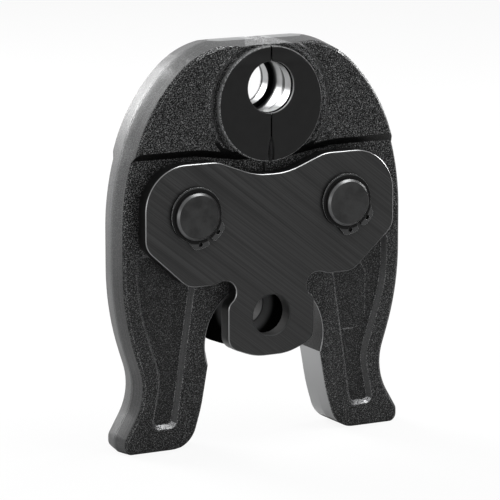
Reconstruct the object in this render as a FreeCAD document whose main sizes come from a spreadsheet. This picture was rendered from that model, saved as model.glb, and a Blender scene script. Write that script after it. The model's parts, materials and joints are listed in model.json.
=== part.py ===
import FreeCAD, Part
import math
import os
import Sketcher
from FreeCAD import Placement, Rotation, Vector

# Press fitting tool jaw: two forged arms carry the halves of a press die and swing
# on two pins between a front and a back side plate. A roller pair drives up between
# the legs and closes the die. Millimetres, +Z up, the press tool's pin hole is the
# origin, the front plate faces -Y and the jaw's middle plane is Y = 0.

os.makedirs("parts", exist_ok=True)
doc = FreeCAD.newDocument("press_jaw")
sheet = doc.addObject("Spreadsheet::Sheet", "Sizes")

SIZES = [
    # side plates
    ("tool_hole", 14.0, "diameter of the hole for the press tool's locking pin"),
    ("plate_thick", 5.2, "thickness of each side plate"),
    ("plate_gap", 14.5, "space between the two side plates"),
    ("plate_edge", 0.25, "chamfer on the edges of the plates"),
    ("hole_edge", 0.3, "chamfer on the tool pin's hole"),
    ("pivot_half", 28.6, "half the distance between the pivot pins"),
    ("pivot_rise", 36.35, "height of the pivot pins over the tool pin"),
    ("lobe_side", 18.6, "plate outside the pivot pin's axis"),
    ("lobe_top", 17.45, "plate over the pivot pin's axis"),
    ("lobe_corner", 15.2, "radius of the plate's upper corners"),
    ("lobe_drop", 24.05, "plate under the pivot pin's axis"),
    ("saddle_dip", 5.5, "dip of the plate's top edge at the middle"),
    ("saddle_half", 6.0, "half the level part of the saddle"),
    ("saddle_bend", 25.0, "radius at the sides of the saddle"),
    ("crest_in", 8.1, "inner end of the plate's top, inside the pivot pin"),
    ("crest_bend", 14.0, "radius from the plate's top down to the saddle"),
    ("side_low", 9.85, "lower end of the plate's side, under the pivot pin"),
    ("side_bend", 7.0, "radius at the lower end of the plate's side"),
    ("shelf_out", 2.85, "outer end of the plate's lower edge, outside the pivot pin"),
    ("shelf_bend", 8.0, "radius at the outer end of the plate's lower edge"),
    ("stem_half", 16.4, "half width of the plate's stem"),
    ("stem_drop", 13.75, "plate under the tool pin's axis"),
    ("stem_flat", 6.2, "half the level part of the stem's bottom"),
    ("stem_bow", 20.0, "radius beside the level part of the stem's bottom"),
    ("stem_slant", 3.95, "height of the slant at the stem's lower corners"),
    ("stem_bend", 5.0, "radius of the stem's lower corners"),
    ("neck_drop", 7.6, "start of the neck under the plate's lower edge"),
    ("neck_bend", 3.6, "radius where the stem meets the neck"),
    ("notch_rise", 0.9, "armpit relief over the plate's lower edge"),
    ("notch_round", 4.2, "radius of the relief at the armpit of the plate"),
    ("notch_lean", 50.0, "lean of the neck into the armpit relief, in degrees"),
    ("notch_wide", 2.5, "armpit relief outside the stem"),
    ("notch_slope", 2.75, "run from the relief down to the plate's lower edge"),
    ("notch_bend", 3.0, "radii between the relief and the plate's lower edge"),
    # pins and retaining rings
    ("pivot_pin", 16.0, "diameter of the pivot pins"),
    ("pin_fit", 0.05, "radial clearance round the pivot pins"),
    ("pin_stand", 2.6, "pin end outside the plate"),
    ("pin_edge", 0.8, "chamfer on the pin ends"),
    ("clip_thick", 1.0, "thickness of the retaining rings"),
    ("clip_seat", 15.2, "diameter of the ring groove in the pins"),
    ("clip_slack", 0.05, "clearance of a ring in its groove, each way"),
    ("clip_play", 0.02, "radial clearance of a ring on its groove's floor"),
    ("clip_thin", 1.1, "radial width of a ring beside its lugs"),
    ("clip_wide", 2.3, "radial width of a ring opposite its gap"),
    ("clip_lug", 1.45, "half width of a ring's lug"),
    ("clip_lug_out", 2.3, "lug hole outside the ring's bore"),
    ("clip_root", 0.5, "lug's root inside the ring's bore before it is bored"),
    ("clip_eye", 1.7, "hole in a ring's lug"),
    ("clip_lug_turn", 21.0, "angle between a lug and the middle of the gap"),
    ("clip_gap_turn", -64.0, "direction of the ring's gap, in degrees"),
    # arms
    ("side_gap", 0.1, "running clearance between an arm and a plate"),
    ("arm_half", 9.3, "half thickness of the upper arm"),
    ("draft", 7.0, "draft of the forged rim, in degrees"),
    ("rim_break", 0.7, "broken edge between the leg's faces and the rim"),
    ("shoulder_break", 0.9, "broken edge between the upper arm's faces and the rim"),
    ("crown_rise", 93.35, "top of the forged arm"),
    ("flat_rise", 92.85, "top of the machined flats"),
    ("flat_wide", 5.4, "width of the machined flats"),
    ("shoulder_out", 24.9, "rim corner at the top of the arm"),
    ("elbow_out", 16.45, "rim corner beside the die, outside the pivot pin"),
    ("elbow_rise", 36.6, "rim corner beside the die, over the pivot pin"),
    ("rim_out", 25.05, "widest rim of the arm, outside the pivot pin"),
    ("rim_high", 8.0, "upper rim corner over the pivot pin"),
    ("rim_low", 33.25, "lower rim corner under the pivot pin"),
    ("waist_out", 16.15, "waist of the leg, outside the pivot pin"),
    ("waist_drop", 60.65, "waist of the leg, under the pivot pin"),
    ("toe_out", 24.6, "toe of the foot, outside the pivot pin"),
    ("toe_drop", 75.2, "toe of the foot, under the pivot pin"),
    ("shoulder_bend", 31.0, "radius of the rim at the top corner"),
    ("elbow_bend", 60.0, "radius of the rim beside the die"),
    ("rim_bend_high", 88.0, "radius of the rim over its widest part"),
    ("rim_bend_low", 94.0, "radius of the rim under its widest part"),
    ("waist_bend", 20.0, "radius of the rim at the waist"),
    ("toe_bend", 4.0, "radius of the rim at the toe"),
    ("heel_bend", 3.6, "radius of the rim under the toe"),
    ("foot_drop", 43.9, "foot face under the tool pin"),
    ("sole_stock", 0.9, "forged stock that is milled off the sole"),
    ("inner_stock", 6.0, "forged stock that is milled off the inner side"),
    ("ledge_gap", 1.6, "clear floor between a plate's top and the ledge"),
    ("ledge_lean", 49.0, "lean of the ledge's wall, in degrees"),
    ("ledge_in", 3.0, "inner end of the ledge's level part, inside the pivot pin"),
    ("ledge_bend", 40.0, "radius where the ledge starts to fall"),
    ("ledge_fall", 2.4, "fall of the ledge towards the middle"),
    ("ledge_foot", 10.0, "where the ledge is down, beside the middle"),
    ("ledge_foot_bend", 12.0, "radius at the lower end of the ledge"),
    ("ledge_turn", 3.4, "where the ledge starts to rise, inside the widest rim"),
    ("ledge_rise", 1.2, "rise of the ledge at the widest rim"),
    ("knee_out", 21.6, "start of the cam face at the knee"),
    ("knee_drop", 16.0, "knee under the tool pin"),
    ("cam_end_out", 28.3, "cam face at the sole of the foot"),
    ("cam_bow", 0.9, "bow of the cam face between knee and foot"),
    ("cam_bend", 60.0, "radius of the cam face's bow"),
    ("cam_toe", 9.5, "radius between the cam face and the sole"),
    ("arch_round", 20.5, "radius of the clearance arch over the knee"),
    ("arch_out", 2.2, "arch centre beside the middle"),
    ("arch_drop", 9.6, "arch centre under the tool pin"),
    ("arch_start", 3.0, "turn of the arch's lower end below level, in degrees"),
    ("arch_end", 60.0, "turn of the arch's upper end, in degrees"),
    # leg panels
    ("panel_deep", 1.9, "depth of the panel in each face of a leg"),
    ("panel_rib", 5.8, "rib between the panel and the rim"),
    ("panel_waist_rib", 5.2, "rib between the panel and the waist"),
    ("panel_foot", 7.6, "foot under the panel"),
    ("panel_top", 12.6, "panel's upper end under the pivot pin"),
    ("panel_wall", 30.0, "slope of the panel's walls, in degrees"),
    ("panel_turn", 29.25, "where the panel's outer side bends, under the pivot pin"),
    ("panel_bow", 60.0, "radius of that bend"),
    ("panel_waist_rise", 5.0, "panel's inward bend over the waist"),
    ("panel_waist_bend", 16.0, "radius of that bend"),
    ("panel_low_in", 5.4, "panel's lower end beyond the cam face"),
    ("panel_low_wide", 9.2, "width of the panel's lower end"),
    ("panel_low_bend", 2.6, "radii at the panel's lower end"),
    ("panel_mid_in", 2.2, "panel's inner bend, inside the cam's end"),
    ("panel_mid_drop", 22.05, "panel's inner bend, under the pivot pin"),
    ("panel_mid_bend", 30.0, "radius of that bend"),
    ("panel_top_in", 0.6, "panel's upper inner corner, inside the cam's end"),
    ("panel_top_bend", 3.0, "radii at the panel's upper end"),
    ("pad_rise", 0.6, "height of the plain pad in the right leg's panel"),
    ("pad_wide", 14.5, "width of the plain pad, into the panel's inner wall"),
    ("pad_side", 11.9, "plain pad's outer side beyond the cam face"),
    ("pad_low", 9.4, "lower end of the plain pad under the tool pin"),
    ("pad_top", 21.05, "upper end of the plain pad under the pivot pin"),
    ("pad_bend_in", 2.0, "radius of the pad's lower inner corner"),
    ("pad_bend_out", 4.6, "radius of the pad's lower outer corner"),
    ("pad_slant_wide", 3.0, "width of the slant at the pad's upper outer corner"),
    ("pad_slant_high", 5.0, "height of that slant"),
    # die
    ("die_rise", 71.8, "die centre over the tool pin"),
    ("die_round", 19.4, "radius of the die face"),
    ("die_proud", 1.35, "die face over the forged collar"),
    ("die_edge", 0.45, "chamfer on the die faces"),
    ("collar_round", 22.2, "radius of the forged collar round the die"),
    ("collar_proud", 1.35, "forged collar over the arm's face"),
    ("collar_flank", 2.0, "width of the collar's outer slope"),
    ("collar_sunk", 1.0, "collar's outer slope let into the arm's face"),
    ("collar_lip", 0.7, "width of the collar's land round the cove"),
    ("cove_deep", 0.9, "depth of the turned cove inside the collar"),
    ("cove_slope", 0.8, "width of the slope round the cove's floor"),
    ("bore_rise", 77.4, "centre of the press contour over the tool pin"),
    ("mouth_round", 8.75, "radius of the press contour at its mouth"),
    ("ridge_round", 8.55, "radius of the two press ridges"),
    ("bead_round", 10.15, "radius of the bead groove"),
    ("bead_wall", 0.4, "axial length of the bead groove's walls"),
    ("mouth_bevel", 0.2, "axial length of the bevel at the mouth"),
    ("mouth_flare", 1.4, "radial reach of that bevel beyond the die face"),
    ("mouth_land", 0.8, "straight land between the bevel and the small groove"),
    ("ring_deep", 0.4, "depth of the small groove behind the mouth"),
    ("ring_wall", 0.1, "axial length of the small groove's walls"),
    ("ring_wide", 0.7, "width of the small groove over its walls"),
    ("ridge_wide", 4.4, "width of each press ridge"),
    ("seam_half", 0.1, "half the seam between the closed die halves"),
    ("slot_half", 1.1, "half width of the slot under the seam"),
    ("slot_top", 61.2, "height where the seam starts to widen"),
    ("slot_low", 1.2, "lower end of the slot over the die's lowest point"),
    ("tail_half", 0.6, "half the gap between the arms under the die"),
    ("tail_top", 3.0, "upper end of that gap under the die's lowest point"),
    ("seam_lip", 1.6, "height of the bevel at the seam's top"),
    ("seam_lip_wide", 2.4, "width of the bevel at the seam's top"),
    ("tail_turn", 22.8, "lean of the hidden relief, in degrees"),
    # closing spring
    ("spring_thick", 1.1, "thickness of the strip spring"),
    ("spring_wide", 9.0, "width of the strip spring"),
    ("spring_bend", 2.6, "outer radius of the spring's bend"),
    ("spring_end", 14.5, "height of the spring's ends"),
    ("spring_seat", 0.15, "clearance between spring and arm"),
]

for row, (name, value, note) in enumerate(SIZES, start=1):
    sheet.set("A%d" % row, name)
    sheet.set("B%d" % row, str(value))
    sheet.set("C%d" % row, note)
    sheet.setAlias("B%d" % row, name)
doc.recompute()


def size(name):
    return float(sheet.get(name))


def tan(degrees):
    return math.tan(math.radians(degrees))


def origin_item(body, role):
    for item in body.Origin.OriginFeatures:
        if item.Role == role:
            return item
    raise ValueError("no origin item " + role)


def new_body(name):
    body = doc.addObject("PartDesign::Body", name)
    body.Label = name
    return body


def new_sketch(body, name, plane="XZ_Plane", lift=None):
    """Sketch on an origin plane; lift is an expression for its offset along the normal."""
    sketch = body.newObject("Sketcher::SketchObject", name)
    sketch.AttachmentSupport = [(origin_item(body, plane), "")]
    sketch.MapMode = "FlatFace"
    if lift:
        sketch.setExpression("AttachmentOffset.Base.z", lift)
    return sketch


def rounded_edges(corners):
    """Lines and tangent arcs of a closed outline; a corner is (u, v) or (u, v, radius)."""
    count = len(corners)
    points = [Vector(c[0], c[1], 0) for c in corners]
    radii = [c[2] if len(c) > 2 else 0.0 for c in corners]
    reach = []
    for i in range(count):
        before = (points[i - 1] - points[i]).normalize()
        after = (points[(i + 1) % count] - points[i]).normalize()
        half_turn = (math.pi - before.getAngle(after)) / 2
        reach.append(radii[i] * math.tan(half_turn))
    # a rounding never takes more than its share of the two edges it joins
    share = [1.0] * count
    for i in range(count):
        j = (i + 1) % count
        length = points[i].distanceToPoint(points[j])
        total = reach[i] + reach[j]
        if total > 0.98 * length:
            factor = 0.98 * length / total
            share[i] = min(share[i], factor)
            share[j] = min(share[j], factor)
    edges = []
    starts = []
    ends = []
    for i in range(count):
        before = (points[i - 1] - points[i]).normalize()
        after = (points[(i + 1) % count] - points[i]).normalize()
        cut = reach[i] * share[i]
        starts.append(points[i] + before * cut)
        ends.append(points[i] + after * cut)
        if cut > 1e-6:
            bend = radii[i] * share[i]
            bisector = (before + after).normalize()
            depth = math.hypot(cut, bend) - bend
            middle = points[i] + bisector * depth
            edges.append(Part.Arc(starts[i], middle, ends[i]))
        j = (i + 1) % count
        after_cut = reach[j] * share[j]
        line_end = points[j] + (points[i] - points[j]).normalize() * after_cut
        if ends[i].distanceToPoint(line_end) > 1e-6:
            edges.append(Part.LineSegment(ends[i], line_end))
    return edges


def add_outline(sketch, corners, side=1):
    """Adds a closed rounded outline; side -1 mirrors it to the left half."""
    for edge in rounded_edges([(side * c[0],) + tuple(c[1:]) for c in corners]):
        sketch.addGeometry(edge, False)


def add_circle(sketch, x_rule, y_rule, radius_rule):
    """Adds a circle whose centre and radius follow the sheet through expressions."""
    number = sketch.addGeometry(Part.Circle(Vector(1, 1, 0), Vector(0, 0, 1), 1.0), False)
    radius = sketch.addConstraint(Sketcher.Constraint("Radius", number, 1.0))
    sketch.setExpression("Constraints[%d]" % radius, radius_rule)
    for kind, rule in (("DistanceX", x_rule), ("DistanceY", y_rule)):
        index = sketch.addConstraint(Sketcher.Constraint(kind, -1, 1, number, 3, 1.0))
        sketch.setExpression("Constraints[%d]" % index, rule)
    return number


def pad_both_ways(body, sketch, name, half_rule, taper_rule=None):
    pad = body.newObject("PartDesign::Pad", name)
    pad.Profile = sketch
    pad.SideType = "Two sides"
    pad.setExpression("Length", half_rule)
    pad.setExpression("Length2", half_rule)
    if taper_rule:
        pad.setExpression("TaperAngle", taper_rule)
        pad.setExpression("TaperAngle2", taper_rule)
    return pad


def cut_through(body, sketch, name):
    pocket = body.newObject("PartDesign::Pocket", name)
    pocket.Profile = sketch
    pocket.SideType = "Two sides"
    pocket.Type = "ThroughAll"
    pocket.Type2 = "ThroughAll"
    return pocket


def turned(body, name, kind, axis_height, profile, both_ends=True):
    """Revolves a (y, radius) profile about an axis along Y at the given height."""
    sketch = new_sketch(body, name + "Profile", "YZ_Plane")
    points = list(profile)
    if both_ends:
        points = points + [(-y, radius) for y, radius in reversed(profile)]
    add_outline(sketch, [(y, axis_height + radius) for y, radius in points])
    axis = Part.LineSegment(Vector(-1, axis_height, 0), Vector(1, axis_height, 0))
    sketch.addGeometry(axis, True)
    feature = body.newObject(kind, name)
    feature.Profile = sketch
    feature.ReferenceAxis = (sketch, ["Axis0"])
    feature.Angle = 360.0
    return feature


# ---- shared places worked out from the sheet ----

web_half = size("plate_gap") / 2 - size("side_gap")
plate_out = size("plate_gap") / 2 + size("plate_thick")
pin_x = size("pivot_half")
pin_z = size("pivot_rise")
foot_z = -size("foot_drop")
collar_half = size("arm_half") + size("collar_proud")
die_half = collar_half + size("die_proud")
# cutting outlines run this far past the solid that they cut
BEYOND = 30.0
WEB_HALF = "Sizes.plate_gap / 2 - Sizes.side_gap"
PLATE_IN = "Sizes.plate_gap / 2"
HOLE_RADIUS = "Sizes.pivot_pin / 2 + Sizes.pin_fit"


def plate_outline():
    """Outline of a side plate: the right half from the stem's bottom to the saddle, mirrored."""
    stem = size("stem_half")
    bottom = -size("stem_drop")
    low = pin_z - size("lobe_drop")
    side = pin_x + size("lobe_side")
    top = pin_z + size("lobe_top")
    notch_top = low + size("notch_rise")
    neck_z = low - size("neck_drop")
    neck_run = (notch_top - neck_z) * tan(size("notch_lean"))
    relief = stem + size("notch_wide")
    half = [
        (size("stem_flat"), bottom, size("stem_bow")),
        (stem, bottom + size("stem_slant"), size("stem_bend")),
        (stem, neck_z, size("neck_bend")),
        (stem - neck_run, notch_top, size("notch_round")),
        (relief, notch_top, size("notch_bend")),
        (relief + size("notch_slope"), low, size("notch_bend")),
        (pin_x + size("shelf_out"), low, size("shelf_bend")),
        (side, pin_z - size("side_low"), size("side_bend")),
        (side, top, size("lobe_corner")),
        (pin_x - size("crest_in"), top, size("crest_bend")),
        (size("saddle_half"), top - size("saddle_dip"), size("saddle_bend")),
    ]
    other = [(-c[0],) + tuple(c[1:]) for c in reversed(half)]
    return half + other


def outer_rims(shape, outward, within, circles):
    """Edges on a plate's outer face: the hole round the origin, or the stamped outline."""
    names = []
    for number, edge in enumerate(shape.Edges, start=1):
        box = edge.BoundBox
        is_circle = isinstance(edge.Curve, Part.Circle) and edge.isClosed()
        if abs(box.YMax - outward * plate_out) > 0.01 or box.YLength > 0.01 or is_circle != circles:
            continue
        reach = max(abs(box.XMin), abs(box.XMax), abs(box.ZMin), abs(box.ZMax))
        if within is None or reach < within:
            names.append("Edge%d" % number)
    return names


def make_plate(name, lift, outward):
    body = new_body(name)
    sketch = new_sketch(body, name + "Outline", lift=lift)
    add_outline(sketch, plate_outline())
    plate = body.newObject("PartDesign::Pad", name + "Blank")
    plate.Profile = sketch
    plate.Reversed = outward > 0
    plate.setExpression("Length", "Sizes.plate_thick")
    doc.recompute()
    holes = new_sketch(body, name + "Holes")
    for x_rule in ("Sizes.pivot_half", "-Sizes.pivot_half"):
        add_circle(holes, x_rule, "Sizes.pivot_rise", HOLE_RADIUS)
    cut_through(body, holes, name + "PivotHoles")
    bore = new_sketch(body, name + "ToolHoleCircle")
    add_circle(bore, "0", "0", "Sizes.tool_hole / 2")
    drilled = cut_through(body, bore, name + "ToolHole")
    doc.recompute()
    # the tool pin's hole is broken more deeply than the stamped outline
    broken = body.newObject("PartDesign::Chamfer", name + "HoleEdge")
    broken.Base = (drilled, outer_rims(drilled.Shape, outward, size("tool_hole"), True))
    broken.setExpression("Size", "Sizes.hole_edge")
    doc.recompute()
    rim = body.newObject("PartDesign::Chamfer", name + "Rim")
    rim.Base = (broken, outer_rims(broken.Shape, outward, None, False))
    rim.setExpression("Size", "Sizes.plate_edge")
    return body


def arm_rim():
    """Forged outline of the right arm at its parting line, with stock at the inner side."""
    top = size("crown_rise")
    toe_x = pin_x + size("toe_out")
    rim_x = pin_x + size("rim_out")
    stock = size("inner_stock")
    sole = foot_z - size("sole_stock")
    return [
        (-stock, top),
        (size("shoulder_out"), top, size("shoulder_bend")),
        (pin_x + size("elbow_out"), pin_z + size("elbow_rise"), size("elbow_bend")),
        (rim_x, pin_z + size("rim_high"), size("rim_bend_high")),
        (rim_x, pin_z - size("rim_low"), size("rim_bend_low")),
        (pin_x + size("waist_out"), pin_z - size("waist_drop"), size("waist_bend")),
        (toe_x, pin_z - size("toe_drop"), size("toe_bend")),
        (toe_x, sole, size("heel_bend")),
        (size("cam_end_out") - stock, sole),
        (size("knee_out") - stock, -size("knee_drop")),
        (size("knee_out") - 2 * stock, 0.0),
        (-stock, pin_z),
    ]


def arch_point(turn):
    """Point of the clearance arch at a turn from level, in degrees."""
    reach = size("arch_round")
    angle = math.radians(turn)
    centre = Vector(size("arch_out"), -size("arch_drop"), 0)
    return centre + Vector(math.cos(angle), math.sin(angle), 0) * reach


def inner_cut():
    """What machining takes off the inner side of the right arm, from the sole to the top."""
    knee = Vector(size("knee_out"), -size("knee_drop"), 0)
    sole = Vector(size("cam_end_out"), foot_z, 0)
    bow = (knee + sole) * 0.5 - Vector(size("cam_bow"), 0, 0)
    arch_turns = (-size("arch_start"), size("arch_end"))
    arch_middle = arch_point(sum(arch_turns) / 2)
    low, high = [arch_point(turn) for turn in arch_turns]
    die_low = size("die_rise") - size("die_round")
    seam = size("seam_half")
    slot = size("slot_half")
    tail = size("tail_half")
    flat = size("flat_rise")
    relief_z = high.y + (high.x - tail) / tan(size("tail_turn"))
    right = pin_x + size("toe_out") + BEYOND
    below_sole = rounded_edges([
        (right, foot_z),
        (sole.x, sole.y, size("cam_toe")),
        (bow.x, bow.y, size("cam_bend")),
        (knee.x, knee.y),
        (-BEYOND, knee.y),
        (-BEYOND, foot_z - BEYOND),
        (right, foot_z - BEYOND),
    ])
    slot_start = Vector(slot, die_low + size("slot_low"), 0)
    slot_end = Vector(seam, size("slot_top"), 0)
    # the slot keeps nearly its full width up to half its height
    slot_middle = Vector(slot * 0.98, (slot_start.y + slot_end.y) / 2, 0)
    above_knee = [
        Part.LineSegment(knee, low),
        Part.Arc(low, arch_middle, high),
        Part.Arc(slot_start, slot_middle, slot_end),
    ]
    relief = [high, Vector(tail, relief_z, 0), Vector(tail, die_low - size("tail_top"), 0), slot_start]
    outside = [
        slot_end,
        Vector(seam, flat - size("seam_lip"), 0),
        Vector(seam + size("seam_lip_wide"), flat, 0),
        Vector(right, flat, 0),
        Vector(right, flat + BEYOND, 0),
        Vector(-BEYOND, flat + BEYOND, 0),
        Vector(-BEYOND, knee.y, 0),
        knee,
    ]
    for run in (relief, outside):
        for first, last in zip(run, run[1:]):
            above_knee.append(Part.LineSegment(first, last))
    return below_sole, above_knee


def mirrored(edge, side):
    """The edge itself for the right arm, or its mirror image for the left arm."""
    if side > 0:
        return edge
    matrix = FreeCAD.Matrix()
    matrix.A11 = -1.0
    first, last = [matrix.multVec(v) for v in (edge.StartPoint, edge.EndPoint)]
    if isinstance(edge, Part.LineSegment):
        return Part.LineSegment(first, last)
    half = (edge.FirstParameter + edge.LastParameter) / 2
    return Part.Arc(first, matrix.multVec(edge.value(half)), last)


def panel_outline():
    """Panel in the face of the right leg: it follows the rim outside and the cam inside."""
    outer = pin_x + size("rim_out") - size("panel_rib")
    waist_x = pin_x + size("waist_out") - size("panel_waist_rib")
    waist_z = pin_z - size("waist_drop") + size("panel_waist_rise")
    foot = foot_z + size("panel_foot")
    top = pin_z - size("panel_top")
    cam = size("cam_end_out")
    low_in = cam + size("panel_low_in")
    return [
        (outer, top, size("panel_top_bend")),
        (outer, pin_z - size("panel_turn"), size("panel_bow")),
        (waist_x, waist_z, size("panel_waist_bend")),
        (low_in + size("panel_low_wide"), foot, size("panel_low_bend")),
        (low_in, foot, size("panel_low_bend")),
        (cam - size("panel_mid_in"), pin_z - size("panel_mid_drop"), size("panel_mid_bend")),
        (cam - size("panel_top_in"), top, size("panel_top_bend")),
    ]


def break_rims(body, base, name, level, rule, wanted):
    """Breaks the flat edges at a distance from the middle plane that pass the test."""
    names = []
    for number, item in enumerate(base.Shape.Edges, start=1):
        box = item.BoundBox
        middle = item.valueAt((item.FirstParameter + item.LastParameter) / 2)
        if box.YLength < 0.01 and abs(abs(middle.y) - level) < 0.01 and wanted(middle):
            names.append("Edge%d" % number)
    softened = body.newObject("PartDesign::Chamfer", name)
    softened.Base = (base, names)
    softened.setExpression("Size", rule)
    doc.recompute()
    return softened


def cut_faces(body, name, word, outline, side, reversed_front, setup):
    """Cuts the same pocket into the front and the back of an arm's web."""
    for end, lift in ((-1, WEB_HALF), (1, "-(" + WEB_HALF + ")")):
        label = name + word + ("Front" if end < 0 else "Back")
        sketch = new_sketch(body, label + "Outline", lift=lift)
        add_outline(sketch, outline, side)
        cut = body.newObject("PartDesign::Pocket", label)
        cut.Profile = sketch
        cut.Reversed = (end < 0) == reversed_front
        setup(cut)
    doc.recompute()
    return cut


def set_floor(cut):
    # the outline lies at the web's face and widens outward, which leans the ledge's wall
    cut.setExpression("Length", "Sizes.arm_half + Sizes.collar_proud - " + PLATE_IN
                      + " + 2 * Sizes.side_gap")
    cut.setExpression("TaperAngle", "Sizes.ledge_lean")


def set_panel(cut):
    cut.setExpression("Length", "Sizes.panel_deep")
    cut.setExpression("TaperAngle", "-Sizes.panel_wall")


def make_arm(name, side):
    body = new_body(name)
    rim = new_sketch(body, name + "Rim")
    add_outline(rim, arm_rim(), side)
    forging = pad_both_ways(body, rim, name + "Forging", "Sizes.arm_half", "-Sizes.draft")
    doc.recompute()
    inside_rim = pin_x + size("pivot_pin") / 2
    break_rims(body, forging, name + "UpperRim", size("arm_half"), "Sizes.shoulder_break",
               lambda middle: side * middle.x > inside_rim and middle.z > pin_z)

    # forged collar round the die, with a turned cove inside it
    die_rise = size("die_rise")
    die = size("die_round")
    collar = size("collar_round")
    flank_y = size("arm_half") - size("collar_sunk")
    turned(body, name + "Collar", "PartDesign::Revolution", die_rise,
           [(-collar_half, 0.0), (-collar_half, collar), (-flank_y, collar + size("collar_flank"))])
    doc.recompute()
    floor_y = collar_half - size("cove_deep")
    cove = collar - size("collar_lip")
    for end, word in ((-1, "Front"), (1, "Back")):
        turned(body, name + "Cove" + word, "PartDesign::Groove", die_rise,
               [(end * floor_y, 0.0), (end * floor_y, cove - size("cove_slope")),
                (end * collar_half, cove), (end * (collar_half + BEYOND), cove),
                (end * (collar_half + BEYOND), 0.0)], both_ends=False)
    doc.recompute()

    # floor that the side plates lie over, bounded by the ledge above the plates
    ledge_z = pin_z + size("lobe_top") + size("ledge_gap")
    ledge_low = ledge_z - size("ledge_fall")
    far = pin_x + size("rim_out") + BEYOND
    floor = [
        (far, ledge_z),
        (pin_x - size("ledge_in"), ledge_z, size("ledge_bend")),
        (size("ledge_foot"), ledge_low, size("ledge_foot_bend")),
        (-BEYOND, ledge_low),
        (-BEYOND, foot_z - BEYOND),
        (far, foot_z - BEYOND),
    ]
    cut = cut_faces(body, name, "Floor", floor, side, True, set_floor)
    outside_pin = pin_x + size("pivot_pin")
    break_rims(body, cut, name + "LowerRim", web_half, "Sizes.rim_break",
               lambda middle: side * middle.x > outside_pin and middle.z < pin_z)

    # the ledge rises where it runs out into the rim
    turn = size("ledge_turn")
    rise = size("ledge_rise")
    turn_x = pin_x + size("rim_out") - turn
    rise_end = ledge_z + rise / turn * (far - turn_x)
    cut_faces(body, name, "LedgeEnd",
              [(far, rise_end), (turn_x - turn, ledge_z - rise), (far, ledge_z - rise)],
              side, True, set_floor)

    # the machined half of the die
    edge = size("die_edge")
    turned(body, name + "Die", "PartDesign::Revolution", die_rise,
           [(-die_half, 0.0), (-die_half, die - edge), (-die_half + edge, die)])
    doc.recompute()

    # slopes from the top flats down to the die faces
    slope = new_sketch(body, name + "SlopeOutline", "YZ_Plane")
    flat = size("flat_rise")
    half = size("flat_wide") / 2
    fall = (flat - die_rise - die) / (die_half - half)
    reach = half + BEYOND
    for end in (-1, 1):
        add_outline(slope, [(end * half, flat), (end * reach, flat - fall * BEYOND),
                            (end * reach, flat + BEYOND), (end * half, flat + BEYOND)])
    cut_through(body, slope, name + "Slope")
    doc.recompute()

    # inner side: sole, cam face, arch, hidden relief, slot, seam and top flat
    for word, edges in zip(("InnerLow", "InnerHigh"), inner_cut()):
        sketch = new_sketch(body, name + word + "Outline")
        for item in edges:
            sketch.addGeometry(mirrored(item, side), False)
        cut_through(body, sketch, name + word)
        doc.recompute()

    # press contour: mouth, small groove, ridge and bead groove, alike on both ends
    mouth = size("mouth_round")
    ridge = size("ridge_round")
    small = ridge + size("ring_deep")
    wall = size("ring_wall")
    land_y = -die_half + size("mouth_bevel")
    ring_y = land_y + size("mouth_land")
    ridge_y = ring_y + size("ring_wide")
    bead_y = ridge_y + size("ridge_wide")
    flare = size("mouth_flare")
    turned(body, name + "Contour", "PartDesign::Groove", size("bore_rise"),
           [(land_y - flare, 0.0), (land_y - flare, mouth + flare), (land_y, mouth),
            (ring_y, mouth), (ring_y + wall, small), (ridge_y - wall, small), (ridge_y, ridge),
            (bead_y, ridge), (bead_y + size("bead_wall"), size("bead_round"))])
    doc.recompute()

    hole = new_sketch(body, name + "PivotCircle")
    add_circle(hole, "%d * Sizes.pivot_half" % side, "Sizes.pivot_rise", HOLE_RADIUS)
    cut_through(body, hole, name + "PivotHole")
    doc.recompute()

    cut_faces(body, name, "Panel", panel_outline(), side, False, set_panel)
    if side > 0:
        # plain marking pad standing on the floor of the front panel
        right = size("cam_end_out") + size("pad_side")
        left = right - size("pad_wide")
        top = pin_z - size("pad_top")
        bottom = -size("pad_low")
        sketch = new_sketch(body, name + "PadOutline", lift=WEB_HALF + " - Sizes.panel_deep")
        add_outline(sketch, [(left, bottom, size("pad_bend_in")),
                             (right, bottom, size("pad_bend_out")),
                             (right, top - size("pad_slant_high")),
                             (right - size("pad_slant_wide"), top), (left, top)])
        pad = body.newObject("PartDesign::Pad", name + "Pad")
        pad.Profile = sketch
        pad.setExpression("Length", "Sizes.pad_rise")
        doc.recompute()
    return body


def make_pin(name, side):
    """Pivot pin with a chamfer and a ring groove at each end."""
    body = new_body(name)
    sketch = new_sketch(body, name + "Profile", "YZ_Plane")
    radius = size("pivot_pin") / 2
    seat = size("clip_seat") / 2
    end = plate_out + size("pin_stand")
    edge = size("pin_edge")
    near = plate_out
    far = plate_out + size("clip_thick") + 2 * size("clip_slack")
    half = [(-end, 0.0), (-end, radius - edge), (-end + edge, radius), (-far, radius),
            (-far, seat), (-near, seat), (-near, radius)]
    points = half + [(-y, r) for y, r in reversed(half)]
    add_outline(sketch, points)
    sketch.addGeometry(Part.LineSegment(Vector(-1, 0, 0), Vector(1, 0, 0)), True)
    pin = body.newObject("PartDesign::Revolution", name + "Turned")
    pin.Profile = sketch
    pin.ReferenceAxis = (sketch, ["Axis0"])
    pin.Angle = 360.0
    body.setExpression("Placement.Base.x", "%d * Sizes.pivot_half" % side)
    body.setExpression("Placement.Base.z", "Sizes.pivot_rise")
    return body


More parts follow.
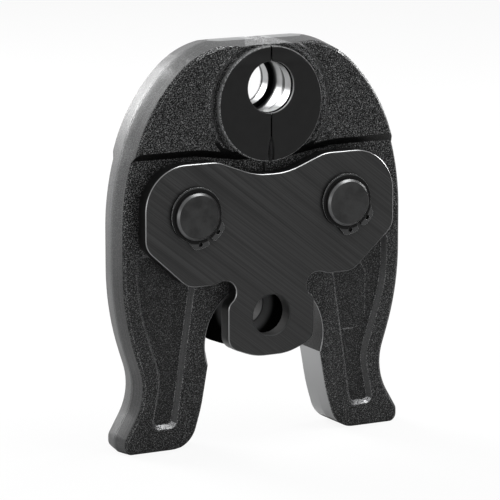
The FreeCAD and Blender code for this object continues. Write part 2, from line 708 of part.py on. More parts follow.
def make_clip(name, side, outward):
    """External retaining ring: eccentric ring, two lugs with eyes, open gap."""
    body = new_body(name)
    inner = size("clip_seat") / 2 + size("clip_play")
    outer = inner + (size("clip_thin") + size("clip_wide")) / 2
    shift = (size("clip_wide") - size("clip_thin")) / 2
    eye = inner + size("clip_lug_out")
    lug = size("clip_lug")
    turn = math.radians(size("clip_lug_turn"))
    # the gap lies along +X here; the body is turned to its place afterwards
    ring = Part.Face(Part.Wire(Part.Circle(Vector(-shift, 0, 0), Vector(0, 0, 1), outer).toShape()))
    lugs = []
    eyes = []
    for hand in (-1, 1):
        out = Vector(math.cos(turn), hand * math.sin(turn), 0)
        across = Vector(-out.y, out.x, 0)
        root = out * (inner - size("clip_root"))
        tip = out * eye
        corners = [root - across * lug, tip - across * lug, tip + out * lug,
                   tip + across * lug, root + across * lug]
        edges = [
            Part.LineSegment(corners[0], corners[1]).toShape(),
            Part.Arc(corners[1], corners[2], corners[3]).toShape(),
            Part.LineSegment(corners[3], corners[4]).toShape(),
            Part.LineSegment(corners[4], corners[0]).toShape(),
        ]
        lugs.append(Part.Face(Part.Wire(edges)))
        hole = Part.Circle(tip, Vector(0, 0, 1), size("clip_eye") / 2).toShape()
        eyes.append(Part.Face(Part.Wire(hole)))
    gap_half = eye * math.sin(turn) - lug
    reach = eye + 2 * lug
    gap = Part.Face(Part.makePolygon([
        Vector(0, -gap_half, 0), Vector(reach, -gap_half, 0),
        Vector(reach, gap_half, 0), Vector(0, gap_half, 0), Vector(0, -gap_half, 0)]))
    bore = Part.Face(Part.Wire(Part.Circle(Vector(0, 0, 0), Vector(0, 0, 1), inner).toShape()))
    flat = ring.fuse(lugs).removeSplitter().cut([gap, bore] + eyes)
    sketch = new_sketch(body, name + "Outline")
    for wire in flat.Faces[0].Wires:
        for edge in wire.Edges:
            curve = edge.Curve
            if isinstance(curve, Part.Circle) and edge.isClosed():
                sketch.addGeometry(curve, False)
            elif isinstance(curve, Part.Circle):
                middle = edge.valueAt((edge.FirstParameter + edge.LastParameter) / 2)
                first = edge.valueAt(edge.FirstParameter)
                last = edge.valueAt(edge.LastParameter)
                sketch.addGeometry(Part.Arc(first, middle, last), False)
            else:
                first = edge.valueAt(edge.FirstParameter)
                last = edge.valueAt(edge.LastParameter)
                sketch.addGeometry(Part.LineSegment(first, last), False)
    pad = body.newObject("PartDesign::Pad", name + "Stamped")
    pad.Profile = sketch
    pad.setExpression("Length", "Sizes.clip_thick")
    near = plate_out + size("clip_slack")
    away = near if outward > 0 else -near
    place = Vector(side * pin_x, away + (size("clip_thick") if outward > 0 else 0.0), pin_z)
    body.Placement = Placement(place, Rotation(Vector(0, 1, 0), -size("clip_gap_turn")))
    return body


def make_spring(name):
    """Strip spring bent to a narrow arch; its ends press the legs apart."""
    body = new_body(name)
    thick = size("spring_thick")
    bend = size("spring_bend")
    lean = size("tail_turn")
    seat = size("spring_seat")
    high = arch_point(size("arch_end"))
    end_z = size("spring_end")
    end_x = high.x - (end_z - high.y) * tan(lean) - seat / math.cos(math.radians(lean))
    top_z = end_z + end_x / tan(lean)
    inside = thick / math.sin(math.radians(lean))
    step = thick / math.cos(math.radians(lean))
    outline = [
        (end_x, end_z),
        (0.0, top_z, bend),
        (-end_x, end_z),
        (-end_x + step, end_z),
        (0.0, top_z - inside, bend - thick),
        (end_x - step, end_z),
    ]
    sketch = new_sketch(body, name + "Outline")
    add_outline(sketch, outline)
    pad_both_ways(body, sketch, name + "Strip", "Sizes.spring_wide / 2")
    return body


pieces = [
    make_plate("front_plate", PLATE_IN, -1),
    make_plate("back_plate", "-(" + PLATE_IN + ")", 1),
    make_arm("left_arm", -1),
    make_arm("right_arm", 1),
    make_pin("left_pin", -1),
    make_pin("right_pin", 1),
    make_clip("front_left_clip", -1, -1),
    make_clip("front_right_clip", 1, -1),
    make_clip("back_left_clip", -1, 1),
    make_clip("back_right_clip", 1, 1),
    make_spring("closing_spring"),
]

doc.recompute()
for item in doc.Objects:
    if "Invalid" in item.State or "Error" in item.State:
        raise RuntimeError("failed: " + item.Label)
for piece in pieces:
    shape = piece.Shape
    if shape.isNull() or not shape.isValid() or len(shape.Solids) != 1:
        raise RuntimeError("bad shape: " + piece.Label)
    shape.exportStep("parts/" + piece.Label + ".step")
    print(piece.Label, round(shape.Volume, 1), shape.BoundBox)
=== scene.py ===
# %% [markdown]
# # The press jaw
# Two forged arms carry the halves of a round press die and swing on pins between two
# side plates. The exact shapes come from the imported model, in metres, with +Z up and the
# front plate towards -Y. This lesson gives them smooth surfaces and the finishes that
# such a jaw has: blasted black forging, ground black plates and a bare steel bore.

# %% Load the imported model
import json
import math

import bpy
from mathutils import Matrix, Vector

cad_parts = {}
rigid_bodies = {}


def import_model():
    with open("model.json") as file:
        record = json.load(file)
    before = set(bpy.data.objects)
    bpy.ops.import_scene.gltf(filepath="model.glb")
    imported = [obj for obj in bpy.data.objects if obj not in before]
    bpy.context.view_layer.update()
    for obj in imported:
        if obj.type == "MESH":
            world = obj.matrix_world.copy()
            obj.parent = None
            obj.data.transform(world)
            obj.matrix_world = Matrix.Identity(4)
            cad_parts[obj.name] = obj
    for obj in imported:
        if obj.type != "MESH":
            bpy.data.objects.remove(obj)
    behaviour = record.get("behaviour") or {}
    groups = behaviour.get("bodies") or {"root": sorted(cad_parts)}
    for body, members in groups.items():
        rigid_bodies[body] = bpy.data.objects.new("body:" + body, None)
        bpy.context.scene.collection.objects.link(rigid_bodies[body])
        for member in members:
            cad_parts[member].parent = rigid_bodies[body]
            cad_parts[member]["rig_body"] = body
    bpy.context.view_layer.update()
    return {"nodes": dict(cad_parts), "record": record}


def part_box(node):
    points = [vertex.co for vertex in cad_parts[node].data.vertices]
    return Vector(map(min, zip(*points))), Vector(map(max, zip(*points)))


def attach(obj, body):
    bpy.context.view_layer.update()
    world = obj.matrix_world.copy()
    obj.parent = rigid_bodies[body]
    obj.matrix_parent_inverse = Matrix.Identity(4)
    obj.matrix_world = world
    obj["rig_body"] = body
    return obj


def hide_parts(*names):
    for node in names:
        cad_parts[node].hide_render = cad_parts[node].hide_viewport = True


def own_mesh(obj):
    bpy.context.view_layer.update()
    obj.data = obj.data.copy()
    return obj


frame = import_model()
MM = 0.001

# %% [markdown]
# ## Places on the jaw
# A finish changes where a cutter has passed: on the die faces, in the bore, on the cam
# faces, on the soles and on the two flats at the top. The boxes of the nodes and the two
# mounts of the record give many of those places. The others are named beside the masks
# that use them. All are in millimetres, which read better than thousandths of a metre.

# %% Measure the places that the finishes need
mounts = {mount["name"]: mount for mount in frame["record"]["mounts"]}
bore_z = mounts["press_contour"]["pos_m"][2] / MM
ridge_radius = mounts["press_contour"]["dims"]["r_mm"]
tool_hole_radius = mounts["tool_pin_hole"]["dims"]["r_mm"]
arm_low, arm_high = [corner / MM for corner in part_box("right_arm")]
plate_low, plate_high = [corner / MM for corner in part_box("front_plate")]
pin_low, pin_high = [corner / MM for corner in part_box("right_pin")]
sole_z = arm_low.z
flat_z = arm_high.z
die_face_y = arm_high.y
plate_outer_y = -plate_low.y
plate_inner_y = -plate_high.y
leg_face_y = plate_inner_y - 0.1
pivot_x = (pin_low.x + pin_high.x) / 2
pivot_z = (pin_low.z + pin_high.z) / 2
pin_end_y = pin_high.y
print("bore, flats, sole and die face in mm:",
      [round(v, 2) for v in (bore_z, flat_z, sole_z, die_face_y)])

# %% [markdown]
# ## Smooth skins
# The nodes arrive as loose triangles, which show every facet of a turned face. A copy of
# a node can be merged and shaded smooth up to a chosen angle, so that round faces turn
# smoothly while chamfers and steps stay crisp. Remeshing would do it too, but it would
# soften the edges that make the jaw look machined.

# %% Helpers for one piece at a time
MERGE_DISTANCE = 0.002 * MM
SMOOTH_ANGLE = math.radians(32.0)


def select_only(piece):
    """Makes a piece the active one and the only one that is selected."""
    bpy.ops.object.select_all(action="DESELECT")
    piece.select_set(True)
    bpy.context.view_layer.objects.active = piece


def stand_for(piece, node):
    """Rides a piece on the body of the node that it replaces."""
    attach(piece, frame["nodes"][node]["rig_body"])
    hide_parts(node)
    print(piece.name, len(piece.data.vertices), "points", len(piece.data.polygons), "faces")


# %% Make one smooth skin from one node
def smooth_skin(node, piece_name):
    """Copies a node, merges its triangles and shades it smooth across shallow edges."""
    skin = bpy.data.objects.new(piece_name, frame["nodes"][node].data.copy())
    skin.data.name = piece_name
    bpy.context.scene.collection.objects.link(skin)
    select_only(skin)
    bpy.ops.object.mode_set(mode="EDIT")
    bpy.ops.mesh.select_all(action="SELECT")
    bpy.ops.mesh.customdata_custom_splitnormals_clear()
    bpy.ops.mesh.remove_doubles(threshold=MERGE_DISTANCE)
    bpy.ops.object.mode_set(mode="OBJECT")
    bpy.ops.object.shade_smooth_by_angle(angle=SMOOTH_ANGLE)
    stand_for(skin, node)
    return skin


# %% Skin the arms, plates and pins
SLOTS = {part["node"]: part["material_slot"] for part in frame["record"]["subparts"]}
SPRING = "closing_spring"
RINGS = {node: node.split("_")[1] + "_pin"
         for node in frame["nodes"] if node.endswith("_clip")}
stiff_nodes = [node for node in frame["nodes"] if node != SPRING and node not in RINGS]
skins = {node: smooth_skin(node, node + "_skin") for node in stiff_nodes}

# %% [markdown]
# ## Retaining rings
# A retaining ring is stamped from spring strip: thin beside its gap, wide opposite it, with
# two broad lugs whose eyes take the tips of pliers. It could be cut from a cylinder, but a
# flat curve follows a stamping's outline directly: one closed line for the ring and a small
# circle for each eye, which the fill leaves open. The curve gets the strip's thickness,
# is made a mesh and takes the place of the model's plainer ring, in the same groove.
#
# The outline is written as radii in millimetres and turns in degrees away from the gap.
# The outer edge is a circle whose centre is shifted away from the gap.

# %% Draw the outline of a retaining ring
RING_SEAT, RING_EDGE, RING_SHIFT = 7.62, 9.32, 0.6
GAP_TURN, GAP_HALF = -60.0, 4.5
EYE_PLACE, EYE_TURN, EYE_RADIUS, EYE_STEPS = 9.6, 23.0, 0.85, 24
LUG = ((RING_SEAT, GAP_HALF), (10.3, 5.0), (10.8, 7.5), (11.0, 11.0), (11.1, 20.0),
       (11.2, 33.0), (11.0, 36.5))
EDGE_TURNS = range(52, 309, 8)
SEAT_TURNS = range(348, 11, -8)


def edge_radius(turn):
    """Radius of the ring's eccentric outer edge, at a turn from the gap."""
    angle = math.radians(turn)
    across = RING_SHIFT * math.sin(angle)
    return math.sqrt(RING_EDGE ** 2 - across ** 2) - RING_SHIFT * math.cos(angle)


def ring_point(radius, turn):
    """A point of the ring in metres, with the gap turned to its place."""
    angle = math.radians(turn + GAP_TURN)
    return radius * MM * math.cos(angle), radius * MM * math.sin(angle)


def ring_eye(turn):
    """The small circle of an eye, in metres."""
    x, y = ring_point(EYE_PLACE, turn)
    angles = [step * math.tau / EYE_STEPS for step in range(EYE_STEPS)]
    return [(x + EYE_RADIUS * MM * math.cos(angle), y + EYE_RADIUS * MM * math.sin(angle))
            for angle in angles]


outer_edge = [(edge_radius(turn), turn) for turn in EDGE_TURNS]
other_lug = [(radius, 360.0 - turn) for radius, turn in reversed(LUG)]
seat_edge = [(RING_SEAT, turn) for turn in SEAT_TURNS]
outline = [ring_point(*place) for place in [*LUG, *outer_edge, *other_lug, *seat_edge]]
ring_lines = [outline, ring_eye(EYE_TURN), ring_eye(-EYE_TURN)]
print("points in the ring's outline and eyes:", [len(line) for line in ring_lines])


# %% Make each retaining ring
def retaining_ring(node, pin):
    """A flat curve with the ring's outline, as thick as the node, made a mesh."""
    ring_middle = sum(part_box(node), Vector()) / 2.0
    pin_middle = sum(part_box(pin), Vector()) / 2.0
    low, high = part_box(node)
    curve = bpy.data.curves.new(node + "_curve", "CURVE")
    curve.dimensions, curve.fill_mode = "2D", "BOTH"
    curve.extrude = (high.y - low.y) / 2.0
    for line in ring_lines:
        spline = curve.splines.new("POLY")
        spline.points.add(len(line) - 1)
        for point, (x, y) in zip(spline.points, line):
            point.co = (x, y, 0.0, 1.0)
        spline.use_cyclic_u = True
    ring = bpy.data.objects.new(node + "_skin", curve)
    bpy.context.scene.collection.objects.link(ring)
    ring.location = (pin_middle.x, ring_middle.y, pin_middle.z)
    ring.rotation_euler = (math.pi / 2.0, 0.0, 0.0)
    select_only(ring)
    bpy.ops.object.convert(target="MESH")
    bpy.ops.object.transform_apply(location=True, rotation=True, scale=True)
    bpy.ops.object.mode_set(mode="EDIT")
    bpy.ops.mesh.select_all(action="SELECT")
    bpy.ops.mesh.remove_doubles(threshold=MERGE_DISTANCE)
    bpy.ops.mesh.normals_make_consistent(inside=False)
    bpy.ops.object.mode_set(mode="OBJECT")
    bpy.ops.object.shade_smooth_by_angle(angle=SMOOTH_ANGLE)
    made = bpy.context.view_layer.objects.active
    made.data.name = made.name
    stand_for(made, node)
    return made


for node, pin in RINGS.items():
    skins[node] = retaining_ring(node, pin)

# %% [markdown]
# ## A spring in two halves
# The strip spring is squeezed as the arms open, and each arm squeezes its own side of it.
# The strip is cut in the middle, at the top of its bend, and each half is kept as a piece of
# its own, with its cut filled.


def spring_half(piece_name, side):
    """Keeps the half of the spring on one side of the middle, with the cut filled."""
    half = smooth_skin(SPRING, piece_name + "_skin")
    bpy.ops.object.mode_set(mode="EDIT")
    bpy.ops.mesh.select_all(action="SELECT")
    bpy.ops.mesh.bisect(
        plane_co=(0.0, 0.0, 0.0), plane_no=(side, 0.0, 0.0), use_fill=True, clear_inner=True)
    bpy.ops.object.mode_set(mode="OBJECT")
    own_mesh(half)
    reach = [round(point.co.x / MM, 2) for point in half.data.vertices]
    print(piece_name, "reaches from", min(reach), "to", max(reach), "mm")
    return half


for name, side, joint in ((SPRING + "_left", -1.0, "left_pivot"),
                          (SPRING + "_right", 1.0, "right_pivot")):
    SLOTS[name] = SLOTS[SPRING]
    skins[name] = spring_half(name, side)

# %% [markdown]
# ## Shader maths as plain expressions
# A finish is a sum of masks: this much grain on the forging, that much shine in the bore.
# Node by node that is hard to read, so one small class wraps a socket and lets Python's
# own operators add the Math nodes. Any other node comes from its node method.


# %% Wrap a shader socket
class Field:
    """A value that varies over a surface; arithmetic on it adds Math nodes."""

    def __init__(self, tree, socket=None):
        self.tree = tree
        self.socket = socket

    def node(self, kind, settings=None, values=None, output=0):
        """Adds a node: its settings first, then the values or links of its sockets."""
        made = self.tree.nodes.new(kind)
        for name, value in (settings or {}).items():
            setattr(made, name, value)
        for key, value in (values or {}).items():
            if isinstance(value, Field):
                self.tree.links.new(value.socket, made.inputs[key])
            else:
                made.inputs[key].default_value = value
        return Field(self.tree, made.outputs[output])

    def math(self, operation, *values):
        return self.node("ShaderNodeMath", {"operation": operation}, dict(enumerate(values)))

    def __add__(self, other):
        return self.math("ADD", self, other)

    def __sub__(self, other):
        return self.math("SUBTRACT", self, other)

    def __rsub__(self, other):
        return self.math("SUBTRACT", other, self)

    def __mul__(self, other):
        return self.math("MULTIPLY", self, other)

    def __truediv__(self, other):
        return self.math("DIVIDE", self, other)

    def __gt__(self, other):
        return self.math("GREATER_THAN", self, other)

    def __lt__(self, other):
        return self.math("LESS_THAN", self, other)

    def __or__(self, other):
        return self.math("MAXIMUM", self, other)

    def __abs__(self):
        return self.math("ABSOLUTE", self)

    __radd__ = __add__
    __rmul__ = __mul__

    def root(self):
        return self.math("SQRT", self)

    def wave(self):
        return self.math("SINE", self)

    def fade(self, start, stop):
        """0 at start, 1 at stop and beyond, smooth between."""
        limits = {"Value": self, "From Min": start, "From Max": stop}
        return self.node("ShaderNodeMapRange", {"interpolation_type": "SMOOTHSTEP"}, limits)

    def mix(self, low, high):
        """A colour between low, where this field is 0, and high, where it is 1."""
        return self.node("ShaderNodeMix", {"data_type": "RGBA"}, {0: self, 6: low, 7: high}, 2)


# %% [markdown]
# ## A finish, and what every finish starts from
# Each finish starts from the same readings: the point on the piece, its distance to the
# middle, and the way that the surface faces, all in the piece's own coordinates, so
# that a pattern stays put when an arm swings. Lengths are in millimetres here too.
#
# Worn and highlighted edges need one more reading. A Bevel node gives the normal that a
# slightly rounded edge would have. Where it differs from the true normal there is an edge,
# and an edge on a blackened part is the first place to rub bright and to catch a painted
# highlight.
#
# Every tone is a grey from 0, black, to 1, the white of bare steel. A mask is 1 where its
# finish is and 0 elsewhere, so masks are multiplied to narrow a place, and the sign |
# takes the larger of two values.

# %% Start a finish
BLACK = (0.0, 0.0, 0.0, 1.0)
STEEL_WHITE = (0.98, 0.99, 1.0, 1.0)
OFF_AXIS = (37.0, 24.0, 51.0)


class Finish:
    """A named material with its Principled shader and the readings that masks use."""

    def __init__(self, name, soft_edge, **constants):
        self.material = bpy.data.materials.new(name)
        self.material.use_nodes = True
        tree = self.material.node_tree
        self.shader = tree.nodes["Principled BSDF"]
        for socket, value in constants.items():
            self.shader.inputs[socket.replace("_", " ")].default_value = value
        self.start = Field(tree)
        self.point = self.start.node("ShaderNodeTexCoord", output="Object")
        facing = self.start.node("ShaderNodeTexCoord", output="Normal")
        self.x, self.y, self.z = [self.part(self.point, axis) / MM for axis in "XYZ"]
        self.facing_y, self.facing_z = [self.part(facing, axis) for axis in "YZ"]
        self.across = abs(self.x)
        self.depth = abs(self.y)
        self.soft = self.start.node(
            "ShaderNodeBevel", {"samples": 6}, {"Radius": soft_edge * MM})

    def part(self, vector, axis):
        """The part of a vector that lies along one axis."""
        return self.start.node("ShaderNodeSeparateXYZ", None, {"Vector": vector}, axis)

    def radius(self, x, z):
        """Distance from a line along Y through x and z, the same on both halves."""
        run = self.across - x
        rise = self.z - z
        return (run * run + rise * rise).root()

    def noise(self, size, detail=2.0, roughness=0.5):
        """Noise from 0 to 1 whose features are about size millimetres across.

        It is turned, because a face that is square to the noise shows its even lattice.
        """
        return self.streaks((size, size, size), OFF_AXIS, detail, roughness)

    def streaks(self, lengths, turns=(0.0, 0.0, 0.0), detail=2.0, roughness=0.5):
        """Noise with features of three lengths along axes that are turned by degrees."""
        values = {"Vector": self.point, "Rotation": [math.radians(turn) for turn in turns],
                  "Scale": [2 * length * MM for length in lengths]}
        place = self.start.node("ShaderNodeMapping", {"vector_type": "TEXTURE"}, values)
        values = {"Vector": place, "Scale": 1.0, "Detail": detail, "Roughness": roughness}
        return self.start.node("ShaderNodeTexNoise", {"noise_dimensions": "3D"}, values)

    def edges(self):
        """0 on open faces, rising to 1 where the surface turns an edge."""
        true_normal = self.start.node("ShaderNodeNewGeometry", output="True Normal")
        same = self.start.node("ShaderNodeVectorMath", {"operation": "DOT_PRODUCT"},
                               {0: self.soft, 1: true_normal}, 1)
        return 1 - same

    def dress(self, tone, height=None, depth=0.0, strength=1.0, **fields):
        """Feeds a grey tone, a bump height in millimetres of depth, and other fields."""
        fields["Base_Color"] = tone.mix(BLACK, STEEL_WHITE)
        fields["Normal"] = self.soft
        if height is not None:
            fields["Normal"] = self.start.node("ShaderNodeBump", None, {
                "Strength": strength, "Distance": depth * MM, "Height": height,
                "Normal": self.soft})
        for socket, field in fields.items():
            target = self.shader.inputs[socket.replace("_", " ")]
            self.start.tree.links.new(field.socket, target)


# %% [markdown]
# ## Where the cutters went
# The arms are drop forgings. Cutters leave smooth faces on the die, the cams and the
# soles, and bare bright steel in the bore and on the top flats. Each of those places is
# a mask made from distances. The arch above each cam face is left as forged, with fainter
# glints as painted shade under the plates, and its sharp front edge is bright, as wear and
# painted highlight. Each place could be a material of its own on chosen faces, but masks
# in one finish keep both arms alike and can fade at a border.
#
# Small amounts such as 0.1 or 0.05 mm only keep a mask clear of the face beside it.

# %% Mark the machined places of the forging
forging = Finish("blasted_forging", 0.7, Specular_IOR_Level=0.16)
DIE_Z, DIE_RADIUS, COLLAR_FACE_Y, DIE_RIM = 71.8, 19.4, 10.65, 0.3
BORE_RADIUS, SEAM_HALF = 10.4, 0.3
KNEE_X, KNEE_Z, CAM_SLOPE, CAM_MARGIN = 21.6, -16.0, 0.24, 1.2
ARCH_X, ARCH_Z, ARCH_RADIUS, ARCH_EDGE = 2.2, -9.6, 20.5, 0.28
LEG_TOP_Z, WEB_HALF, PANEL_DEPTH = 24.0, 3.0, 0.5
SIDE_ON, UPWARD = 0.8, 0.9

from_die = forging.radius(0.0, DIE_Z)
from_bore = forging.radius(0.0, bore_z)
from_arch = forging.radius(ARCH_X, ARCH_Z)
sideways = abs(forging.facing_y)
die_face = (from_die < DIE_RADIUS + 0.1) * (forging.depth > COLLAR_FACE_Y)
die_rim = die_face * (from_die > DIE_RADIUS - DIE_RIM)
bore = (from_bore < BORE_RADIUS) * (forging.depth < die_face_y - 0.02)
cam_line = KNEE_X - (forging.z - KNEE_Z) * CAM_SLOPE + CAM_MARGIN
cam = (forging.across < cam_line) * (forging.z < KNEE_Z) * (sideways < SIDE_ON)
sole = forging.z < sole_z + 0.05
flats = (forging.z > flat_z - 0.1) * (forging.facing_z > UPWARD)
seam = (forging.across < SEAM_HALF) * (1 - bore)
machined = die_face | sole | seam
rough = (1 - machined) * (1 - bore) * (1 - flats) * (1 - cam)
on_leg_face = (forging.z < LEG_TOP_Z) * (sideways > SIDE_ON)
panel = on_leg_face * (forging.depth < leg_face_y - PANEL_DEPTH) * (forging.depth > WEB_HALF)
above_knee = forging.z > KNEE_Z
arch_edge = on_leg_face * (abs(from_arch - ARCH_RADIUS) < ARCH_EDGE) * above_knee
arch = (from_arch < ARCH_RADIUS + 1.0) * (sideways < SIDE_ON) * above_knee
print("masks of the forging:", len(forging.start.tree.nodes), "nodes so far")

# %% [markdown]
# ## Grain, glints and the parting line
# Blasting leaves pits of a few tenths of a millimetre, too small to change the outline, so
# they aren't modelled. A fine noise raises them as bump, and its peaks are partly metal.
# The peaks are also lighter in the base colour: grain, and painted glints as well, more so
# on the upper half than on the legs. The upper half's base is a little darker. The rim has
# lines along it from trimming, and the parting line of the two forging dies is a thin groove
# that breaks up where the flash was ground off.

# %% Paint the grain, the rim and the cut faces
UPPER_Z, LEDGE_Z = (15.0, 45.0), (25.0, 60.0)
RIM_TILT = 0.6
FORGED_BLACK, PATCHY, GRIT_AND_GLINT, UPPER_GRIT_AND_GLINT, PANEL_PAINTED_SHADE = 0.008, 0.003, 0.22, 0.14, 0.05
TRIM_AND_SHEEN, TRIM_LINES, TRIM_GLINTS = 0.02, 0.05, 0.04
CUT, CUT_PATCHES, FLAT_TONE, CAM_TONE = 0.008, 0.004, 0.34, 0.26

grain = forging.noise(0.16, detail=2.0, roughness=0.6)
patches = forging.noise(1.8)
peaks = grain.fade(0.4, 0.76)
upper = forging.z.fade(*UPPER_Z)
rim = (sideways < RIM_TILT) * rough * (1 - arch)
rim_lines = forging.streaks((14.0, 0.35, 14.0))
wander = (forging.noise(0.9, detail=1.0) - 0.5) * 0.5
parting = (1 - (forging.depth + wander).fade(0.12, 0.36)) * rim
# Painted shade: the glints are fainter in the leg panels, on the arch and on the ledge walls
# that face down.
ledge = (forging.facing_z < -0.3) * (forging.z > LEDGE_Z[0]) * (forging.z < LEDGE_Z[1])
grit_and_glints = (GRIT_AND_GLINT + upper * UPPER_GRIT_AND_GLINT - panel * PANEL_PAINTED_SHADE) * (1 - arch * 0.8) * (1 - ledge * 0.9)
# Lighter peaks of the grain: grain, and painted glints as well.
blasted = FORGED_BLACK - upper * 0.007 + patches * PATCHY + peaks * peaks * grit_and_glints
# The rim is lighter than the faces, partly as trimmed steel and partly as painted sheen, more so
# on the upper half.
trimmed_and_sheen = TRIM_AND_SHEEN + upper * 0.02 + rim_lines * TRIM_LINES + peaks * (TRIM_GLINTS + upper * 0.06)
forged_tone = rim * trimmed_and_sheen + (1 - rim) * blasted
cut_tone = machined * (CUT + patches * CUT_PATCHES) + flats * FLAT_TONE + cam * CAM_TONE
print("grain painted with", len(forging.start.tree.nodes), "nodes so far")

# %% [markdown]
# ## Rubbed and highlighted edges
# Handling wears the black away where the forging is proud, and the same edges catch light.
# The shoulders, the die's rim and the front edge of the arch are bright as wear and painted
# highlight. The upper flank of the die, the edges of the leg panels and, in patches, the
# upward walls at the panels' lower ends get painted highlights. Such marks could be painted
# by hand on a picture. Here the edge reading finds the shoulders and the panels' edges,
# distances find the rest, and the peaks of the grain break the bright tone up into specks.
# The front edge of the arch is a clean line.

# %% Paint wear and highlights on the edges
SHOULDER_Z, SHOULDER_FROM_DIE, FLANK_WIDTH = (58.0, 80.0), (23.0, 26.0), 2.2
TOE_ACROSS, TOE_ABOVE_SOLE, TOE_BELOW_KNEE = (24.0, 42.0), 5.0, 10.0
SHOULDER_WEAR_AND_HIGHLIGHT, ARCH_EDGE_WEAR_AND_HIGHLIGHT, DIE_RIM_WEAR_AND_HIGHLIGHT, FLANK_PAINTED_HIGHLIGHT, TOE_PAINTED_HIGHLIGHT, LIP_PAINTED_HIGHLIGHT = (
    0.6, 0.25, 0.3, 0.22, 0.8, 0.2)

bright_specks = grain.fade(0.42, 0.58)
turned = forging.edges()
high_up = forging.z.fade(*SHOULDER_Z)
shoulder = high_up * from_die.fade(*SHOULDER_FROM_DIE) * (1 - bore)
# Wear and painted highlight on the shoulder edges, in specks.
shoulder_wear_and_highlight = turned.fade(0.04, 0.18) * bright_specks * shoulder
above_sole = forging.z > sole_z + TOE_ABOVE_SOLE
lips = on_leg_face * turned.fade(0.006, 0.05) * above_sole
toe = (forging.facing_z > 0.35) * above_sole * (forging.z < KNEE_Z - TOE_BELOW_KNEE)
toe = toe * (forging.across > TOE_ACROSS[0]) * (forging.across < TOE_ACROSS[1])
toe = toe * (forging.depth < leg_face_y + 0.3)
flank = from_die.fade(DIE_RADIUS, DIE_RADIUS + 0.2) * (sideways < 0.93)
flank = flank * (from_die < DIE_RADIUS + FLANK_WIDTH)
# Wear and painted highlight on the die's rim; painted highlights on the upper flank, the panels'
# edges and the upward toe walls.
speckled_wear_and_highlights = die_rim * DIE_RIM_WEAR_AND_HIGHLIGHT | flank * high_up * FLANK_PAINTED_HIGHLIGHT | lips * LIP_PAINTED_HIGHLIGHT
speckled_wear_and_highlights = speckled_wear_and_highlights | toe * patches * TOE_PAINTED_HIGHLIGHT
wear_and_highlights = shoulder_wear_and_highlight * SHOULDER_WEAR_AND_HIGHLIGHT | arch_edge * ARCH_EDGE_WEAR_AND_HIGHLIGHT | bright_specks * speckled_wear_and_highlights
# Inside the seam the tone is black, as painted shade.
tone = (rough * forged_tone + cut_tone + wear_and_highlights) * (1 - seam)
print("forging rubbed with", len(forging.start.tree.nodes), "nodes so far")

# %% [markdown]
# ## The press contour, and the finished forging
# The bore is bare steel. Along its axis come the mouth, a small groove, a press ridge, and
# the bead groove. Next to each mouth a band is painted dark, as painted shade. The bead
# groove's floor is painted dull, as shade, with a painted highlight band across it, and
# sideways walls are painted nearly black, as dark reflections. The masks are bands of
# depth, with soft borders. The bright band lies a little behind the middle, so it alone
# reads y with its sign.
# The bump adds up the grain, the lines along the rim, the parting groove and the draft,
# the slight lean that lets a forging out of its dies. The solid rim is square, so a slope
# in the bump stands for its lean. Inside the seam the finish is painted black as shade, a
# metal that mirrors nothing: a gap this thin is dark on a real jaw.

# %% Band the bore and finish the forging
MOUTH_SHADE_FROM_Y, MOUTH_SHADE_TO_Y = 9.7, 11.1
BRIGHT_BAND_FROM_Y, BRIGHT_BAND_TO_Y = (-1.6, -0.6), (2.2, 3.4)
DRAFT_ACROSS, DRAFT_Z = (24.0, 30.0), (84.0, 90.0)
BARE, MOUTH_BAND_SHADE, BEAD_FLOOR_SHADE, BRIGHT_BAND_TONE = 0.3, 0.28, 0.04, 0.26

# Painted shade: a dark band next to the mouth, and a dull bead floor with a painted highlight
# band across it.
mouth_band_shade = (forging.depth - MOUTH_SHADE_FROM_Y).fade(0.0, 0.2) - (forging.depth - MOUTH_SHADE_TO_Y).fade(-0.1, 0.1)
bead = from_bore.fade(ridge_radius + 0.5, ridge_radius + 1.0)
painted_bright_band = forging.y.fade(*BRIGHT_BAND_FROM_Y) - forging.y.fade(*BRIGHT_BAND_TO_Y) * 0.75
wall = sideways.fade(0.5, SIDE_ON)
bore_tone = (BARE - mouth_band_shade * MOUTH_BAND_SHADE) * (1 - bead) + bead * (BEAD_FLOOR_SHADE + painted_bright_band * BRIGHT_BAND_TONE)
# Painted dark reflections: bore walls that face sideways are nearly black.
tone = tone + bore * bore_tone * (1 - wall * 0.97)
draft = forging.depth * (forging.across.fade(*DRAFT_ACROSS) | forging.z.fade(*DRAFT_Z))
relief = grain * rough * 0.6 + rim * rim_lines * 0.3 - parting * 1.8 - draft
glints = (0.4 + peaks * 0.5) * (rough - rim)
forging.dress(
    tone, relief, 0.11, 0.9,
    Roughness=0.42 * rough + 0.38 * machined + 0.36 * bore + 0.5 * flats + 0.3 * cam,
    Metallic=bore | flats | cam * 0.9 | glints | arch_edge | shoulder_wear_and_highlight | seam | toe,
)

# %% [markdown]
# ## Ground black plates
# The side plates are stamped, ground flat and blackened. Grinding leaves fine straight
# lines that run from upper left to lower right. A noise that is stretched along the lines
# gives them; a picture of scratches would repeat. The inner faces never met the wheel and
# are dull bare metal, painted nearly black as the shade between the plates, with painted
# light round the tool pin's hole. The side walls are painted darker than the faces, as
# shade. The chamfer round the outline is rubbed thin and catches light, less so in the hole.

# %% Paint the plates
ground = Finish("ground_black_plate", 0.15, Specular_IOR_Level=0.3)
LINE_TURN = (0.0, 38.0, 0.0)
FLAT_ON, CHAMFER, HOLE_CHAMFER = 0.9, 0.3, 0.5
PAINTED_LIGHT_REACH = (9.0, 12.0)
PLATE, FINE, BROAD, WALL_PAINTED_SHADE, INNER_PAINTED_SHADE, PAINTED_LIGHT_ROUND_HOLE = 0.006, 0.02, 0.007, 0.003, 0.002, 0.14

